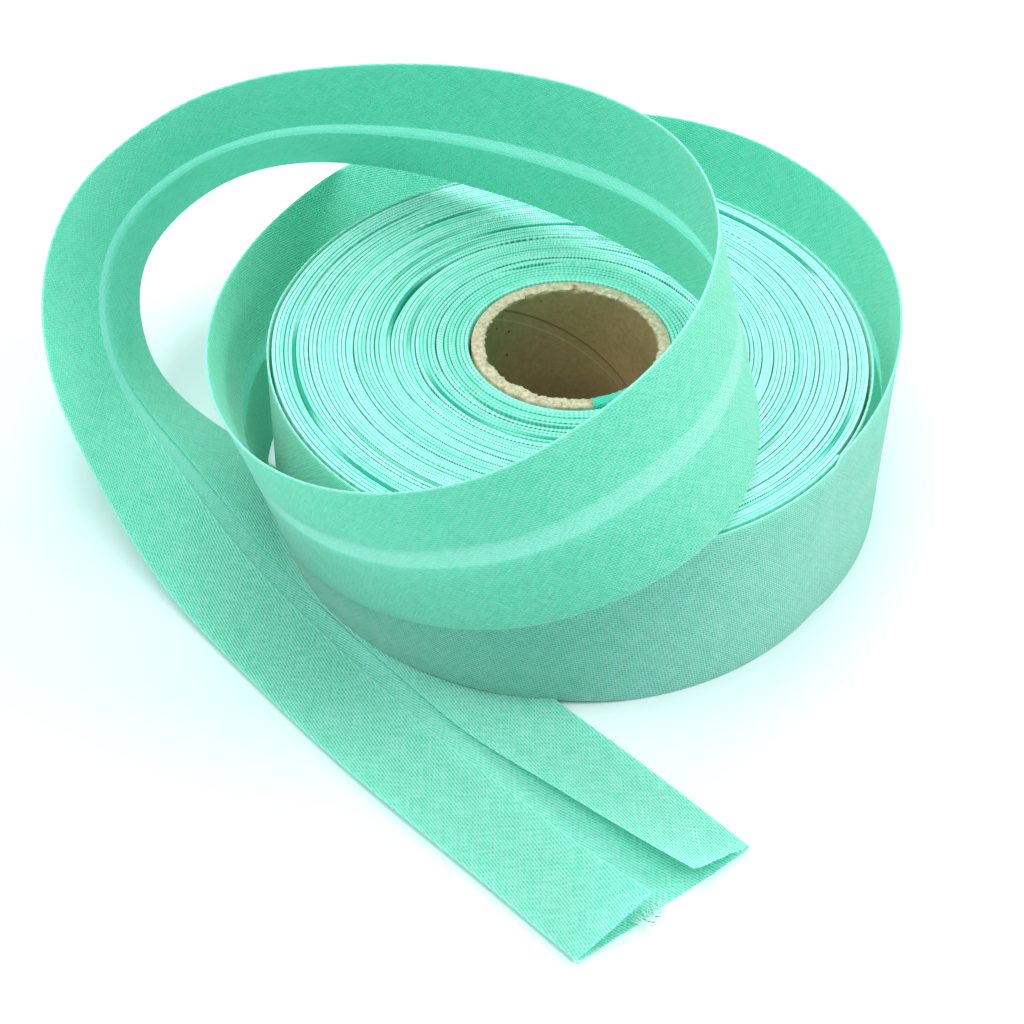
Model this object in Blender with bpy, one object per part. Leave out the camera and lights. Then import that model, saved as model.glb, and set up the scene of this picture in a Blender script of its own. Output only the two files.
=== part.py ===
"""A roll of bias binding, lying flat, with its outer turns sprung loose.

Three pieces: the card tube that the tape is wound on, the wound turns, and the loose
length of tape. The loose tape leaves the front of the roll, stands on edge round it once,
climbs on to the roll's top, swings out in a big loop and comes back as a flat tail that
ends in a cut. All lengths are in millimetres until they reach a mesh.
"""
from math import cos, radians, sin

import bmesh
import bpy
from mathutils import Vector

MM = 0.001

# ---- driving dimensions, mm ----
TAPE_WIDTH = 40.0        # folded width
LAYER = 1.0              # one layer of cloth
LAYER_GAP = 0.3          # air between the tape and its folded-in edges
OPEN_MIDDLE = 4.5        # strip left uncovered between the two raw edges
CLEAR = 0.3              # air between neighbouring pieces
ROLL_RADIUS = 60.0       # where the last wound turn ends
CORE_RADIUS = 20.0
CORE_WALL = 2.7
ROLL_HEIGHT = TAPE_WIDTH
TAPE_THICK = 2 * LAYER + LAYER_GAP

TAPE_LEAVES_AT = -50.0   # degrees round the roll where the loose tape starts
STEP_ARC = 1.5           # degrees over which the roll steps down by one tape

# The wound turns stand in bands, each slid up or down a little on the next.
TURN_BANDS = (
    # outer radius, height
    (25.0, 39.6),
    (34.0, 40.0),
    (43.5, 39.7),
    (52.0, 40.0),
    (ROLL_RADIUS, 39.8),
)

# The flat tail runs under the rim of the roll, so the roll is relieved there.
TAIL_HEADING = -45.5     # degrees
TAIL_REACH = 41.2        # from the roll's axis to the edge of the relief
RELIEF_OVER_TAIL = 1.3   # air left over the tail
RELIEF_DEPTH = TAPE_THICK + RELIEF_OVER_TAIL

# The loose tape's route: each row pulls a smooth curve towards itself.
#   x, y   middle of the tape's width, from the roll's axis
#   foot   height of its lower edge
#   lean   0 stands on edge, 90 lies flat with its folded side up, below 0 tips inwards
#   seam   how far the open middle lies from the middle of the width
ROUTE = (
    # x, y, foot, lean, seam
    (41.5, -45, 0, 0, 0.0),       # leaves the roll, standing on edge
    (61.5, -21, 0.2, -3, 0.0),
    (69, 11, 0, 1, 0.0),          # right of the roll
    (67, 39, 0, 2, 0.0),
    (52, 68, 0, 1, 0.0),
    (25, 85, 0, 4, 0.0),          # behind it
    (-7, 82, 0, 8, 0.0),
    (-38, 72, 0, 10, 0.0),
    (-57, 46, 0, 14, -1.0),
    (-69, 17, 1.5, 10, -1.0),     # left of it
    (-67.5, -14, 6, 14, 0.0),     # starts to climb, over the tail
    (-56.5, -43, 12, 19, 1.0),
    (-36, -65, 21, 19, 1.5),
    (-8, -74, 30, 4, 1.5),        # front
    (21, -59, 43, -22, 1.0),      # crosses the rim
    (32, -28, 43, -17, 0.0),      # stands on the roll's top
    (29, 3, 42, -11, -1.0),
    (12, 25, 44, -9, -2.0),
    (-18, 42, 43, -18, -2.5),
    (-41, 48, 43, -26, -2.5),     # leaves the rim again
    (-75, 56, 38, -38, -2.5),
    (-101, 45, 18, -20, -2.5),    # the big loop drops to the left
    (-105, 22, 0, 42, -2.5),
    (-84, -1, 0, 68, -1.5),       # and lies down
    (-66, -22, 0, 89, -0.5),
    (-45, -45, 0, 90, 0.0),       # flat tail, under the rim
    (-26, -66, 0, 90, 0.0),
    (-3, -87, 0, 90, 0.0),
    (17, -107, 0, 90, 0.0),       # cut end
)
STATIONS_PER_ROW = 5

# The cut end: the upper and lower flap lift off the tape, and the cut is not quite square.
UPPER_FLAP_LIFT = 5.5
UPPER_FLAP_OPENS = 25.0  # before the end
LOWER_FLAP_LIFT = 5.0
LOWER_FLAP_OPENS = 58.0
LOWER_FLAP_NARROWS = 3.0
CUT_SKEW = 2.2           # one edge falls this short, the other runs past
CUT_BLEND = 15.0

TURNED_SIDES = 120


# ---- materials ----
def material(name, colour, roughness):
    mat = bpy.data.materials.new(name)
    mat.use_nodes = True
    shader = mat.node_tree.nodes["Principled BSDF"]
    shader.inputs["Base Color"].default_value = (*colour, 1.0)
    shader.inputs["Roughness"].default_value = roughness
    shader.inputs["Metallic"].default_value = 0.0
    return mat


# ---- meshes ----
def closed_body(name, rings, capped, mat, turned_back=()):
    """Join rings of points (mm) in order into one closed body and return its object.

    Each four-sided face is split from its first corner to its third. The sides numbered in
    turned_back start at their other corner, so layers that face each other split alike.
    """
    bm = bmesh.new()
    loops = [[bm.verts.new(Vector(p) * MM) for p in ring] for ring in rings]
    pairs = list(zip(loops, loops[1:]))
    if capped:
        bm.faces.new(loops[0])
        bm.faces.new(loops[-1])
    else:
        pairs.append((loops[-1], loops[0]))
    for one, other in pairs:
        for k in range(len(one)):
            start, end = (k, k - 1) if k in turned_back else (k - 1, k)
            bm.faces.new((one[start], one[end], other[end], other[start]))
    bm.normal_update()
    bmesh.ops.triangulate(bm, faces=bm.faces[:], quad_method="FIXED", ngon_method="EAR_CLIP")
    bmesh.ops.recalc_face_normals(bm, faces=bm.faces[:])
    mesh = bpy.data.meshes.new(name)
    bm.to_mesh(mesh)
    bm.free()
    mesh.materials.append(mat)
    mesh.shade_smooth()
    mesh.set_sharp_from_angle(angle=radians(35))
    obj = bpy.data.objects.new(name, mesh)
    bpy.context.collection.objects.link(obj)
    return obj


def turned_ring(angle, outline):
    """A half-section of (radius, height) points, set at an angle in degrees round the axis."""
    c, s = cos(radians(angle)), sin(radians(angle))
    return [(r * c, r * s, z) for r, z in outline]


# ---- the card tube ----
def core_tube():
    outline = [
        (CORE_RADIUS - CORE_WALL, 0.0),
        (CORE_RADIUS, 0.0),
        (CORE_RADIUS, ROLL_HEIGHT),
        (CORE_RADIUS - CORE_WALL, ROLL_HEIGHT),
    ]
    rings = [turned_ring(360.0 * k / TURNED_SIDES, outline) for k in range(TURNED_SIDES)]
    return closed_body("core_tube", rings, False, material("kraft_card", (0.42, 0.33, 0.20), 0.85))


# ---- the wound turns ----
def roll_radius(angle):
    """The outer turn's radius: it grows by one tape in a turn and steps down where it leaves."""
    turn = ((angle - TAPE_LEAVES_AT) % 360.0) / 360.0
    return ROLL_RADIUS - (TAPE_THICK + CLEAR) * (1.0 - turn)


def roll_outline(outer):
    outline = [(outer, 0.0), (CORE_RADIUS + CLEAR, 0.0)]
    inner = CORE_RADIUS + CLEAR
    for radius, height in TURN_BANDS:
        band_outer = min(radius, outer)
        outline += [(inner, height), (band_outer, height)]
        inner = band_outer
    return outline


def wound_roll():
    angles = [TAPE_LEAVES_AT + 360.0 * k / TURNED_SIDES for k in range(1, TURNED_SIDES)]
    angles += [TAPE_LEAVES_AT + 360.0 - STEP_ARC / 2]
    rings = [turned_ring(a, roll_outline(roll_radius(a))) for a in angles]
    step_foot = TAPE_LEAVES_AT + STEP_ARC / 2
    rings.append(turned_ring(step_foot, roll_outline(roll_radius(step_foot))))
    roll = closed_body("wound_roll", rings, False, material("wound_cloth", (0.33, 0.80, 0.62), 0.8))

    relief = tail_relief()
    cut = roll.modifiers.new("tail relief", "BOOLEAN")
    cut.operation = "DIFFERENCE"
    cut.solver = "EXACT"
    cut.object = relief
    return roll, relief


def tail_relief():
    """The slab cut from under the roll's rim, along the flat tail."""
    along = Vector((cos(radians(TAIL_HEADING)), sin(radians(TAIL_HEADING)), 0.0))
    outwards = Vector((along.y, -along.x, 0.0))
    reach = 2 * ROLL_RADIUS
    rings = []
    for height in (-RELIEF_DEPTH, RELIEF_DEPTH):
        level = Vector((0.0, 0.0, height))
        near = outwards * TAIL_REACH + level
        far = outwards * reach + level
        rings.append([near - along * reach, near + along * reach, far + along * reach, far - along * reach])
    slab = closed_body("tail_relief", rings, True, material("guide", (0.8, 0.8, 0.8), 0.5))
    slab.hide_render = True
    slab.display_type = "WIRE"
    return slab


# ---- the loose tape ----
def pulled_curve(rows, steps):
    """Points on the uniform cubic B-spline that the rows pull, starting and ending on a row."""
    rows = [Vector(row) for row in rows]
    rows = [2 * rows[0] - rows[1], *rows, 2 * rows[-1] - rows[-2]]
    points = []
    for a, b, c, d in zip(rows, rows[1:], rows[2:], rows[3:]):
        for k in range(steps):
            t = k / steps
            weights = ((1 - t) ** 3, 3 * t ** 3 - 6 * t ** 2 + 4, -3 * t ** 3 + 3 * t ** 2 + 3 * t + 1, t ** 3)
            points.append((weights[0] * a + weights[1] * b + weights[2] * c + weights[3] * d) / 6)
    points.append((rows[-3] + 4 * rows[-2] + rows[-1]) / 6)
    return points


def tape_frames():
    """For each station: middle, heading, across the width, towards the folded side, seam."""
    stations = pulled_curve(ROUTE, STATIONS_PER_ROW)
    middles = []
    for x, y, foot, lean, _ in stations:
        middles.append(Vector((x, y, foot + TAPE_WIDTH / 2 * cos(radians(lean)))))
    frames = []
    last = len(stations) - 1
    for k, (_, _, _, lean, seam) in enumerate(stations):
        heading = (middles[min(k + 1, last)] - middles[max(k - 1, 0)]).normalized()
        outwards = heading.cross(Vector((0, 0, 1))).normalized()
        upwards = outwards.cross(heading)
        across = cos(radians(lean)) * upwards + sin(radians(lean)) * outwards
        folded_side = across.cross(heading)
        frames.append((middles[k], heading, across, folded_side, seam))
    return frames


def tape_section(seam, upper_lift, lower_lift, lower_narrows):
    """The folded tape cut across: (across, towards the folded side) points, mm."""
    half = TAPE_WIDTH / 2
    under = LAYER + LAYER_GAP
    upper_raw = seam + OPEN_MIDDLE / 2
    lower_raw = seam - OPEN_MIDDLE / 2 - lower_narrows
    return [
        (-half, 0.0),
        (lower_raw, 0.0),
        (upper_raw, 0.0),
        (half, 0.0),
        (half, TAPE_THICK),
        (upper_raw, TAPE_THICK + upper_lift),
        (upper_raw, under + upper_lift),
        (half - LAYER, under),
        (half - LAYER, LAYER),
        (upper_raw, LAYER),
        (lower_raw, LAYER),
        (-half + LAYER, LAYER),
        (-half + LAYER, under),
        (lower_raw, under + lower_lift),
        (lower_raw, TAPE_THICK + lower_lift),
        (-half, TAPE_THICK),
    ]


def opening(to_end, length):
    """0 where a flap still lies flat, growing to 1 at the cut end."""
    return max(0.0, 1.0 - to_end / length) ** 1.5


def loose_tape():
    frames = tape_frames()
    to_end = [0.0]
    for one, other in zip(frames[::-1], frames[-2::-1]):
        to_end.append(to_end[-1] + (one[0] - other[0]).length)
    to_end.reverse()
    rings = []
    for (middle, heading, across, folded_side, seam), left in zip(frames, to_end):
        lower = opening(left, LOWER_FLAP_OPENS)
        section = tape_section(
            seam,
            UPPER_FLAP_LIFT * opening(left, UPPER_FLAP_OPENS),
            LOWER_FLAP_LIFT * lower,
            LOWER_FLAP_NARROWS * lower,
        )
        skew = CUT_SKEW * max(0.0, 1.0 - left / CUT_BLEND) / (TAPE_WIDTH / 2)
        rings.append([middle + a * across + f * folded_side - skew * a * heading for a, f in section])
    inward_sides = {k for k, (a, _) in enumerate(section) if a < section[k - 1][0]}
    cloth = material("tape_cloth", (0.30, 0.78, 0.60), 0.8)
    return closed_body("loose_tape", rings, True, cloth, inward_sides)


# ---- placing ----
def stand_on_origin(pieces, guides):
    """Move everything so that the middle of the whole object's underside is the origin."""
    corners = [vertex.co for piece in pieces for vertex in piece.data.vertices]
    lows = [min(c[k] for c in corners) for k in range(3)]
    highs = [max(c[k] for c in corners) for k in range(3)]
    shift = Vector((-(lows[0] + highs[0]) / 2, -(lows[1] + highs[1]) / 2, -lows[2]))
    for obj in [*pieces, *guides]:
        obj.location = shift


def main():
    for obj in list(bpy.data.objects):
        bpy.data.objects.remove(obj)
    core = core_tube()
    roll, relief = wound_roll()
    tape = loose_tape()
    stand_on_origin([core, roll, tape], [relief])


main()
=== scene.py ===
from math import asin, atan2, cos, hypot, pi, radians, sin

import bmesh
import bpy
from mathutils import Matrix, Vector, noise


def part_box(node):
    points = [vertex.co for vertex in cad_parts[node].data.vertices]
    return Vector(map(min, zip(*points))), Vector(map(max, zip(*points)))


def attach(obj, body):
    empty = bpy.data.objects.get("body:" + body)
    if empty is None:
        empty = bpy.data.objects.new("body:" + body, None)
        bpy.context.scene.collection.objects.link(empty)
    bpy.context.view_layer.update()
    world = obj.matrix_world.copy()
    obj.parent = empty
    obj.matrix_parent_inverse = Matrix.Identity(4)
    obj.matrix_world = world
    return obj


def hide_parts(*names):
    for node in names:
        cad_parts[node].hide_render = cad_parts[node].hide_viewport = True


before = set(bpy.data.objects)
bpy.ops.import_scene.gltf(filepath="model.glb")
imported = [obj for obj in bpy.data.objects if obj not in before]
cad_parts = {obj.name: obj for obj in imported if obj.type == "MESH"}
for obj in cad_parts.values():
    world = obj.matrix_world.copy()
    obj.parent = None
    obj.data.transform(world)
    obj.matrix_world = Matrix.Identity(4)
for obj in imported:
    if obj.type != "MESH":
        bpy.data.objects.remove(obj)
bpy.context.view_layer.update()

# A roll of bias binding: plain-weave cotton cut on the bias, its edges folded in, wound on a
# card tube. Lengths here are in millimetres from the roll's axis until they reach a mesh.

MM = 0.001

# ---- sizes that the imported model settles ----
tube_low, tube_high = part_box("core_tube")
AXIS = Vector(((tube_low.x + tube_high.x) / 2, (tube_low.y + tube_high.y) / 2, 0.0))
TAPE_WIDTH = (tube_high.z - tube_low.z) / MM
CORE_RADIUS = (tube_high.x - tube_low.x) / 2 / MM

# ---- the tape ----
YARN_PITCH = (0.52, 0.33)  # estimates for the two sets of yarns, at 45 degrees to the tape
SINGLE_LAYER_BACKLIGHT = 0.30      # how much paler the tape is painted where one layer stands clear: painted light shining through from behind
PRESSED = 0.45           # from the outer face to a folded-in edge
OPEN_MIDDLE = 4.8        # strip left single between the two raw edges
FLAP = (TAPE_WIDTH - OPEN_MIDDLE) / 2
TAPE_LEAVES_AT = -35.0   # degrees round the roll
FIRST_TURN_GROWS = 0.75  # the last wound turn is already a little slack
STATIONS_PER_ROW = 12
ROLL_STATION = 2.5       # degrees between stations on the roll
FLAP_STEPS = 9           # across one folded-in edge
FOLD_STEPS = 5           # round one fold
BASE_STEPS = 18          # across the outer layer

# The flat tail runs under the rim of the roll.
TAIL_HEADING = -45.5     # degrees
TAIL_REACH = 43.0        # from the roll's axis to the tail's nearer edge
TAIL_HEIGHT = 0.9
TAIL_RAMP = 15.0         # the roll's foot rises to the tail's height over this

# The loose tape's route: each row pulls a smooth curve towards itself.
#   x, y   middle of the tape's width
#   foot   height of its lower edge
#   lean   0 stands on edge, 90 lies flat with its folded side up, below 0 tips inwards
#   seam   how far the open middle lies from the middle of the width
ROUTE = (
    # x, y, foot, lean, seam
    (41.5, -45, 0, 0, 0.0),       # leaves the roll, standing on edge
    (61.5, -21, 0.2, -3, 0.0),
    (69, 11, 0, 1, 0.0),          # right of the roll
    (67, 39, 0, 2, 0.0),
    (52, 68, 0, 1, 0.0),
    (25, 85, 0, 4, 0.0),          # behind it
    (-7, 82, 0, 8, 0.0),
    (-38, 72, 0, 10, 0.0),
    (-57, 46, 0, 14, -1.0),
    (-69, 17, 1.5, 10, -1.0),     # left of it
    (-67.5, -14, 6, 14, 0.0),     # starts to climb, over the tail
    (-56.5, -43, 12, 19, 1.0),
    (-36, -65, 21, 19, 1.5),
    (-8, -74, 30, 4, 1.5),        # front
    (21, -59, 43, -22, 1.0),      # crosses the rim
    (32, -28, 43, -17, 0.0),      # stands on the roll's top
    (29, 3, 42, -11, -1.0),
    (12, 25, 44, -9, -2.0),
    (-18, 42, 43, -18, -2.5),
    (-41, 48, 43, -26, -2.5),     # leaves the rim again
    (-75, 56, 38, -38, -2.5),
    (-101, 45, 18, -20, -2.5),    # the big loop drops to the left
    (-105, 22, 0, 42, -2.5),
    (-84, -1, 0, 68, -1.5),       # and lies down
    (-66, -22, 0, 89, -0.5),
    (-45, -45, 0, 90, 0.0),       # flat tail, under the rim
    (-26, -66, 0, 90, 0.0),
    (-3, -87, 0, 90, 0.0),
    (17, -107, 0, 90, 0.0),       # cut end
)

# The cut end: the upper and lower flap lift off the tape, and the cut is not quite square.
UPPER_FLAP_LIFT = 5.5
UPPER_FLAP_OPENS = 25.0  # before the end
LOWER_FLAP_LIFT = 5.0
LOWER_FLAP_OPENS = 58.0
LOWER_FLAP_NARROWS = 3.0
FOLD_CURL = 0.9          # how far the folds spring up from what the tape lies on
RAW_EDGE_LIFT = {-1: 0.5, 1: 1.2}  # how far the lower and upper folded-in edge stand off the tape
RAW_ROLL = 0.5           # its outermost strip
CUT_SKEW = 2.2
CUT_BLEND = 15.0

# ---- the wound turns ----
TURNS = 48               # an estimate, with 0.8 mm for one folded tape
SIDES_PER_TURN = 150
WOUND_THICK = 0.79
PROFILE_CORNERS = 12
GAP_SPREAD = 0.25        # how far, in turns, slack gathers into gaps
EDGE_RISE = 0.12         # how far a turn may ride up or down
EDGE_SINKS = 0.6         # how far a few turns sink below the rest

# ---- the card tube ----
CORE_WALL = 2.7
TORN_DEPTH = 0.8


# ================ shader and geometry trees ================
def add_node(tree, kind, inputs=None, **settings):
    """Add a node, set its properties, and give each named input a value or a link."""
    made = tree.nodes.new(kind)
    for name, value in settings.items():
        setattr(made, name, value)
    for name, value in (inputs or {}).items():
        if isinstance(value, bpy.types.NodeSocket):
            tree.links.new(value, made.inputs[name])
        else:
            made.inputs[name].default_value = value
    return made


def math_node(tree, operation, *values):
    """The result of a Math node on numbers and sockets."""
    inputs = dict(enumerate(values))
    return add_node(tree, "ShaderNodeMath", inputs, operation=operation).outputs[0]


def blend_colours(tree, amount, first, second):
    """Mix two colours by an amount."""
    inputs = {"Factor": amount, "A": first, "B": second}
    mixed = add_node(tree, "ShaderNodeMix", data_type="RGBA")
    for name, value in inputs.items():
        socket = next(s for s in mixed.inputs if s.name == name and s.enabled)
        if isinstance(value, bpy.types.NodeSocket):
            tree.links.new(value, socket)
        else:
            socket.default_value = value
    return next(s for s in mixed.outputs if s.enabled)


def spread(tree, value, low, high, to_low=0.0, to_high=1.0):
    """Map a range of a value on to another range, and keep it inside."""
    inputs = {"Value": value, "From Min": low, "From Max": high, "To Min": to_low, "To Max": to_high}
    return add_node(tree, "ShaderNodeMapRange", inputs).outputs["Result"]


def new_material(name, roughness, specular, sheen=0.0):
    """A material with a Principled shader, its tree, and the shader."""
    made = bpy.data.materials.new(name)
    made.use_nodes = True
    tree = made.node_tree
    shader = tree.nodes["Principled BSDF"]
    shader.inputs["Roughness"].default_value = roughness
    shader.inputs["Specular IOR Level"].default_value = specular
    shader.inputs["Sheen Weight"].default_value = sheen
    return made, tree, shader


# ================ materials ================
def woven_height(tree, cloth):
    """Height, rows of raised crossings and slubs of a plain weave lying at 45 degrees to the tape."""
    turned = add_node(tree, "ShaderNodeMapping", {"Vector": cloth, "Rotation": (0, 0, pi / 4)})
    yarns = add_node(
        tree, "ShaderNodeVectorMath",
        {0: turned.outputs["Vector"], 1: [1 / (pitch * MM) for pitch in YARN_PITCH] + [1.0]},
        operation="MULTIPLY",
    )
    parts = add_node(tree, "ShaderNodeSeparateXYZ", {"Vector": yarns.outputs["Vector"]})
    warp_wave = math_node(tree, "SINE", math_node(tree, "MULTIPLY", parts.outputs["X"], pi))
    weft_wave = math_node(tree, "SINE", math_node(tree, "MULTIPLY", parts.outputs["Y"], pi))
    over = math_node(tree, "MULTIPLY", warp_wave, weft_wave)
    warp_rise = math_node(tree, "COSINE", math_node(tree, "MULTIPLY", parts.outputs["X"], pi))
    weft_rise = math_node(tree, "COSINE", math_node(tree, "MULTIPLY", parts.outputs["Y"], pi))
    row = math_node(tree, "MULTIPLY", math_node(tree, "MULTIPLY", warp_rise, weft_rise), 0.3)
    row = math_node(tree, "MULTIPLY_ADD", over, 0.7, row)
    warp_share = math_node(tree, "MULTIPLY_ADD", over, 0.42, 0.58)
    weft_share = math_node(tree, "MULTIPLY_ADD", over, -0.42, 0.58)
    warp = math_node(tree, "MULTIPLY", math_node(tree, "ABSOLUTE", weft_wave), warp_share)
    weft = math_node(tree, "MULTIPLY", math_node(tree, "ABSOLUTE", warp_wave), weft_share)
    height = math_node(tree, "MAXIMUM", warp, weft)

    slubs = None
    for stretch in ((0.08, 1.0, 1.0), (1.0, 0.08, 1.0)):
        drawn = add_node(
            tree, "ShaderNodeVectorMath",
            {0: yarns.outputs["Vector"], 1: stretch}, operation="MULTIPLY",
        )
        thick = add_node(
            tree, "ShaderNodeTexNoise",
            {"Vector": drawn.outputs["Vector"], "Scale": 1.0, "Detail": 0.0},
        ).outputs["Fac"]
        slubs = thick if slubs is None else math_node(tree, "ADD", slubs, thick)
    return height, row, spread(tree, slubs, 0.65, 1.35)


def cloth_material(name, dark, light, through, see_through, bump):
    """Bias-cut plain weave, which lets some light through."""
    made, tree, shader = new_material(name, roughness=0.7, specular=0.25, sheen=0.55)
    cloth = add_node(tree, "ShaderNodeUVMap", uv_map="cloth").outputs["UV"]
    height, row, slubs = woven_height(tree, cloth)

    tone = math_node(tree, "MULTIPLY_ADD", height, 0.35, math_node(tree, "MULTIPLY", slubs, 0.34))
    tone = math_node(tree, "MULTIPLY_ADD", row, 0.22, tone)
    shade = add_node(
        tree, "ShaderNodeTexNoise", {"Vector": cloth, "Scale": 38.0, "Detail": 3.0},
    ).outputs["Fac"]
    tone = math_node(tree, "MULTIPLY_ADD", math_node(tree, "SUBTRACT", shade, 0.5), 0.2, tone)
    # Where the tape stands clear it is painted a little deeper, as painted shade, and its weave shows less,
    # standing in for the softer light there.
    held_up = add_node(tree, "ShaderNodeAttribute", attribute_name="held_up").outputs["Fac"]
    tone = math_node(tree, "MULTIPLY_ADD", held_up, -0.30, tone)
    colour = blend_colours(tree, spread(tree, tone, -0.28, 0.68), dark, light)
    pore = spread(tree, math_node(tree, "MULTIPLY", row, -1.0), 0.1, 0.7)
    pore = math_node(tree, "MULTIPLY", pore, spread(tree, slubs, 0.15, 0.85, 1.0, 0.6))
    # The pores fade where the tape stands clear: painted light, as above.
    pore = math_node(tree, "MULTIPLY", pore, spread(tree, held_up, 0.0, 1.0, 1.0, 0.45))
    colour = blend_colours(tree, pore, colour, (0.03, 0.40, 0.25, 1.0))
    # Paler along each fold: partly its pressed fibres, partly a painted highlight where the fold catches
    # light.
    across = add_node(tree, "ShaderNodeSeparateXYZ", {"Vector": cloth}).outputs["Y"]
    from_fold = math_node(tree, "ABSOLUTE", across)
    from_fold = math_node(tree, "SUBTRACT", from_fold, (TAPE_WIDTH + PRESSED / 2) / 2 * MM)
    from_fold = math_node(tree, "ABSOLUTE", from_fold)
    colour = blend_colours(tree, spread(tree, from_fold, 0.25 * MM, 0.6 * MM, 0.65, 0.0), colour, light)
    # Painted light: where one layer stands clear in the open middle it is painted paler, for light shining
    # through from behind.
    from_seam = add_node(tree, "ShaderNodeAttribute", attribute_name="from_seam").outputs["Fac"]
    single = spread(tree, math_node(tree, "ABSOLUTE", from_seam), 2.2 * MM, 2.8 * MM, SINGLE_LAYER_BACKLIGHT, 0.0)
    single = math_node(tree, "MULTIPLY", single, held_up)
    colour = blend_colours(tree, single, colour, (0.70, 1.0, 1.0, 1.0))
    raw_edge = add_node(tree, "ShaderNodeAttribute", attribute_name="raw").outputs["Fac"]
    colour = blend_colours(tree, spread(tree, raw_edge, 0.45, 0.85, 0.0, 0.7), colour, light)
    tree.links.new(colour, shader.inputs["Base Color"])

    relief = math_node(tree, "MULTIPLY_ADD", row, 0.9, math_node(tree, "MULTIPLY", height, 0.5))
    relief = math_node(tree, "MULTIPLY_ADD", slubs, 1.0, relief)
    bumped = add_node(
        tree, "ShaderNodeBump", {"Height": relief, "Strength": bump, "Distance": 0.09 * MM},
    )
    tree.links.new(bumped.outputs["Normal"], shader.inputs["Normal"])

    glow = add_node(
        tree, "ShaderNodeBsdfTranslucent",
        {"Color": blend_colours(tree, 0.75, colour, through), "Normal": bumped.outputs["Normal"]},
    )
    mixed = add_node(
        tree, "ShaderNodeMixShader",
        {"Fac": see_through, 1: shader.outputs["BSDF"], 2: glow.outputs["BSDF"]},
    )
    output = tree.nodes["Material Output"]
    tree.links.new(mixed.outputs["Shader"], output.inputs["Surface"])
    return made


def wound_edges_material():
    """Folded edges of the wound turns: pale where the folds crest, partly their fibres and partly a painted
    highlight; painted shade, deep green, in the grooves between turns and on turns that sink below the
    rest.
    """
    made, tree, shader = new_material("wound_edges", roughness=0.8, specular=0.2, sheen=0.1)
    turn = add_node(tree, "ShaderNodeAttribute", attribute_name="turn").outputs["Fac"]
    along = add_node(tree, "ShaderNodeAttribute", attribute_name="along").outputs["Fac"]
    crest = add_node(tree, "ShaderNodeAttribute", attribute_name="crest").outputs["Fac"]

    sunk = add_node(tree, "ShaderNodeAttribute", attribute_name="sunk").outputs["Fac"]

    side = add_node(tree, "ShaderNodeAttribute", attribute_name="side").outputs["Fac"]

    # Painted shade: the grooves between turns, below the crests, darken towards deep green.
    groove = spread(tree, math_node(tree, "ABSOLUTE", crest), 0.35, 0.8, 1.0, 0.0)
    middle = spread(tree, math_node(tree, "ABSOLUTE", side), 0.05, 0.28, 0.85, 0.0)
    each_turn = add_node(
        tree, "ShaderNodeTexNoise", {"W": turn, "Scale": 1.7, "Detail": 1.0}, noise_dimensions="1D",
    ).outputs["Fac"]
    patchy = add_node(
        tree, "ShaderNodeTexNoise", {"W": along, "Scale": 420.0, "Detail": 2.0}, noise_dimensions="1D",
    ).outputs["Fac"]
    stitch = math_node(tree, "SINE", math_node(tree, "MULTIPLY", along, 2 * pi / (0.5 * MM)))
    stitch = math_node(tree, "MULTIPLY_ADD", patchy, 3.0, math_node(tree, "SUBTRACT", stitch, 1.5))
    strong = spread(tree, each_turn, 0.35, 0.65, 0.4, 1.0)
    dash = math_node(tree, "MULTIPLY", spread(tree, stitch, -0.4, 0.5), strong)
    weak = math_node(tree, "MULTIPLY", middle, spread(tree, each_turn, 0.4, 0.65, 0.2, 1.0))
    lines = math_node(tree, "MAXIMUM", groove, weak)
    dark_share = math_node(tree, "MULTIPLY", lines, math_node(tree, "MULTIPLY_ADD", dash, 0.75, 0.25))
    dark_share = math_node(tree, "MULTIPLY", dark_share, spread(tree, turn, 0.3, 2.0, 0.35, 1.0))

    dots = math_node(tree, "MULTIPLY_ADD", spread(tree, stitch, -0.6, 0.6), -0.4, 0.4)
    pale_share = math_node(tree, "MULTIPLY_ADD", spread(tree, each_turn, 0.3, 0.7), 0.7, dots)
    inmost = spread(tree, turn, 0.0, 12.0, -0.35, 0.0)
    pale_share = math_node(tree, "ADD", pale_share, inmost)
    # The crests' paleness is partly their fibres, partly a painted highlight.
    crest_pale = blend_colours(
        tree, spread(tree, pale_share, 0.0, 1.0), (0.18, 0.74, 0.56, 1.0), (0.48, 0.93, 0.85, 1.0),
    )
    # Painted shade: turns that sink below the rest are painted deep green, as if lit less.
    face = blend_colours(tree, sunk, crest_pale, (0.01, 0.36, 0.24, 1.0))
    # Deep green for the painted groove shade and the fine lines along each turn.
    colour = blend_colours(tree, dark_share, face, (0.0, 0.22, 0.15, 1.0))
    tree.links.new(colour, shader.inputs["Base Color"])
    bumped = add_node(tree, "ShaderNodeBump", {"Height": stitch, "Strength": 0.4, "Distance": 0.05 * MM})
    tree.links.new(bumped.outputs["Normal"], shader.inputs["Normal"])
    return made


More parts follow.
